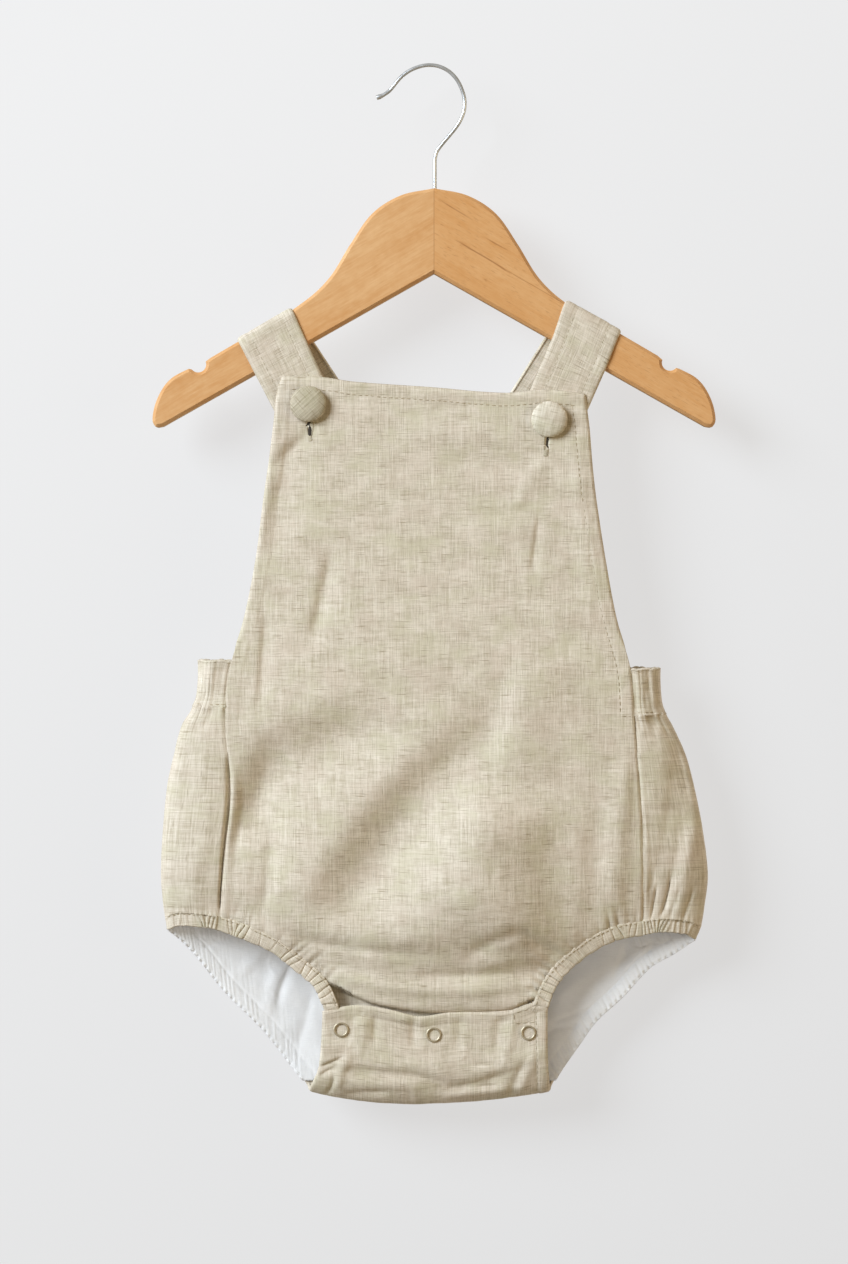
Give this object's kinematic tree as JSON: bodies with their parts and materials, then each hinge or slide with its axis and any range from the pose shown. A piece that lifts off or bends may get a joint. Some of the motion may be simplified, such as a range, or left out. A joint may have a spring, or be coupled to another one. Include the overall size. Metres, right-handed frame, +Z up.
{
  "type": "baby romper on a hanger",
  "caption": "Bib-front baby romper with buttoned straps crossed behind, gathered leg openings and a snap crotch flap, hanging on a wooden clothes hanger with a wire hook.",
  "frame": {"origin": "the inside of the hook's bend, where it rests on a rail", "axes": "+Z up, the garment's front faces -Y, +X to the right as seen from the front"},
  "size_m": [0.3012, 0.051, 0.5567],
  "materials": {
    "linen": "natural beige linen, matt plain weave",
    "lining": "white cotton, matt",
    "button": "covered with the same linen",
    "snap": "thin plated ring, slightly dulled",
    "wood": "orange-brown hardwood, satin varnish",
    "chrome": "polished wire"
  },
  "bodies": {
    "root": {"front_panel": "linen", "back_panel": "linen", "back_waistband": "linen", "crotch_flap": "linen", "back_lining": "lining", "leg_casing_front_left": "linen", "leg_casing_front_right": "linen", "leg_casing_back_left": "linen", "leg_casing_back_right": "linen", "strap_left": "linen", "strap_right": "linen", "button_left": "button", "button_right": "button", "snap_ring_left": "snap", "snap_ring_middle": "snap", "snap_ring_right": "snap", "snap_stud_left": "snap", "snap_stud_middle": "snap", "snap_stud_right": "snap", "hanger_wood": "wood", "hanger_hook": "chrome"}
  },
  "joints": []
}
